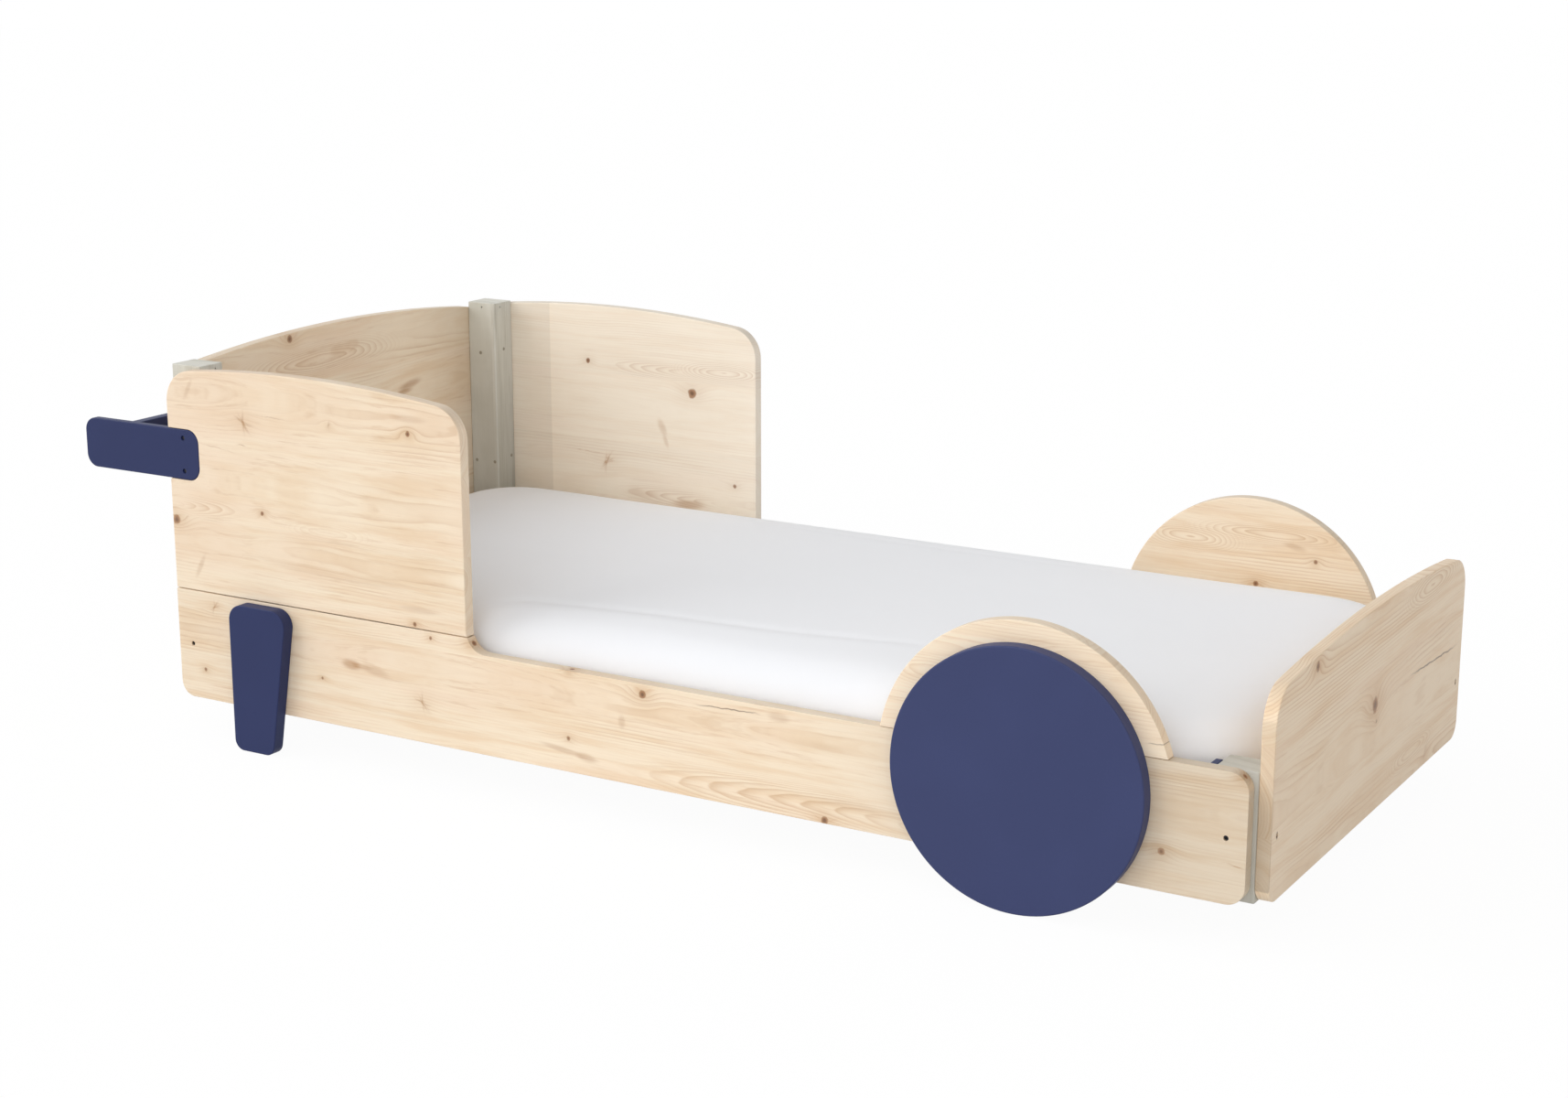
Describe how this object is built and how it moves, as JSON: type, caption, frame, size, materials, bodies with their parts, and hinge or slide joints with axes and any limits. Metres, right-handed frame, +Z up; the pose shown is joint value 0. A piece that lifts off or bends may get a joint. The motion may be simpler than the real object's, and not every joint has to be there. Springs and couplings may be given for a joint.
{
  "type": "kids bed",
  "caption": "Low solid-pine child's bed with raised head end, climb-in side recesses, arches over fixed wheel discs, a grab handle, slatted base and mattress.",
  "frame": {"origin": "on the floor, in the middle of the bed's overall length and width", "axes": "+X along the bed from the head (handle end) to the foot, +Y across it from the near side to the far side, +Z up"},
  "size_m": [2.276, 1.014, 0.6949],
  "materials": {
    "pine": "satin",
    "post_pine": "matte",
    "blue_paint": "satin",
    "slat_birch": "satin",
    "dowel_beech": "matte",
    "tape": "matte",
    "mattress_cloth": "matte",
    "zinc_steel": "satin"
  },
  "bodies": {
    "root": {"near_side_rail": "pine", "far_side_rail": "pine", "near_head_side_board": "pine", "far_head_side_board": "pine", "near_wheel_arch": "pine", "far_wheel_arch": "pine", "head_panel": "pine", "foot_panel": "pine", "near_slat_ledger": "pine", "far_slat_ledger": "pine", "near_head_post": "post_pine", "far_head_post": "post_pine", "near_foot_post": "post_pine", "far_foot_post": "post_pine", "near_wheel_disc": "blue_paint", "far_wheel_disc": "blue_paint", "near_leg": "blue_paint", "far_leg": "blue_paint", "near_handle_arm": "blue_paint", "far_handle_arm": "blue_paint", "handle_bar": "blue_paint", "near_corner_packer": "blue_paint", "far_corner_packer": "blue_paint", "slat_1": "slat_birch", "slat_2": "slat_birch", "slat_3": "slat_birch", "slat_4": "slat_birch", "slat_5": "slat_birch", "slat_6": "slat_birch", "slat_7": "slat_birch", "slat_8": "slat_birch", "slat_9": "slat_birch", "slat_10": "slat_birch", "slat_11": "slat_birch", "slat_12": "slat_birch", "slat_13": "slat_birch", "slat_14": "slat_birch", "slat_tapes": "tape", "mattress": "mattress_cloth", "rail_bolts": "zinc_steel", "panel_bolts": "zinc_steel", "barrel_nuts": "zinc_steel", "wheel_disc_screws": "zinc_steel", "leg_screws": "zinc_steel", "handle_arm_screws": "zinc_steel", "head_post_screws": "zinc_steel", "ledger_screws": "zinc_steel", "slat_screws": "zinc_steel", "packer_screws": "zinc_steel", "side_board_dowels": "dowel_beech", "arch_dowels": "dowel_beech", "handle_bar_dowels": "dowel_beech"}
  },
  "joints": []
}
